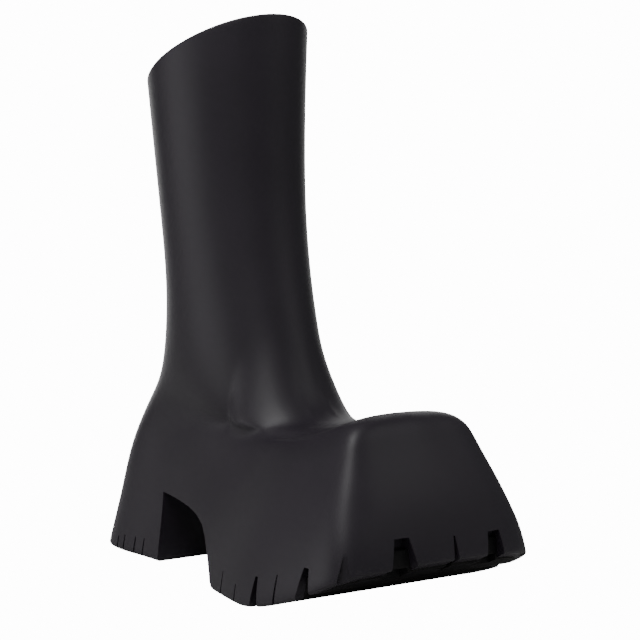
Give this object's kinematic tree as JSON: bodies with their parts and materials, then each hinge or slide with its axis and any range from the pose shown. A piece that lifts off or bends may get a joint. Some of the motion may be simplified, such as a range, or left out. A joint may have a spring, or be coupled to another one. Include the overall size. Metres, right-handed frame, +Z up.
{
  "type": "platform boot",
  "caption": "Pull-on mid-calf boot with a flared notched platform, squared toe box, separate block heel and slanted top line, lined, for the right foot.",
  "frame": {"origin": "middle of the boot's footprint, on the surface it stands on", "axes": "+Z up, toe toward -Y, outer side of the right foot toward -X"},
  "size_m": [0.1874, 0.35, 0.4002],
  "materials": {
    "moulded_rubber": "matte, smooth moulded",
    "tread_rubber": "matte",
    "lining_knit": "fine knit",
    "footbed_cloth": "woven cloth",
    "footbed_foam": "open foam",
    "fibreboard": "pressed fibre",
    "stiffener": "thermoplastic sheet",
    "filler_foam": "light foam",
    "heel_plastic": "moulded",
    "steel": "plain"
  },
  "bodies": {
    "root": {"upper_shell": "moulded_rubber", "forefoot_outsole": "tread_rubber", "heel_top_piece": "tread_rubber", "sock_lining": "lining_knit", "footbed_cover": "footbed_cloth", "footbed_foam": "footbed_foam", "insole_board": "fibreboard", "shank": "steel", "shank_rivet_front": "steel", "shank_rivet_rear": "steel", "toe_puff": "stiffener", "heel_counter": "stiffener", "forefoot_filler": "filler_foam", "heel_core": "heel_plastic", "heel_screw": "steel", "heel_nail_1": "steel", "heel_nail_2": "steel", "heel_nail_3": "steel", "heel_nail_4": "steel"}
  },
  "joints": []
}
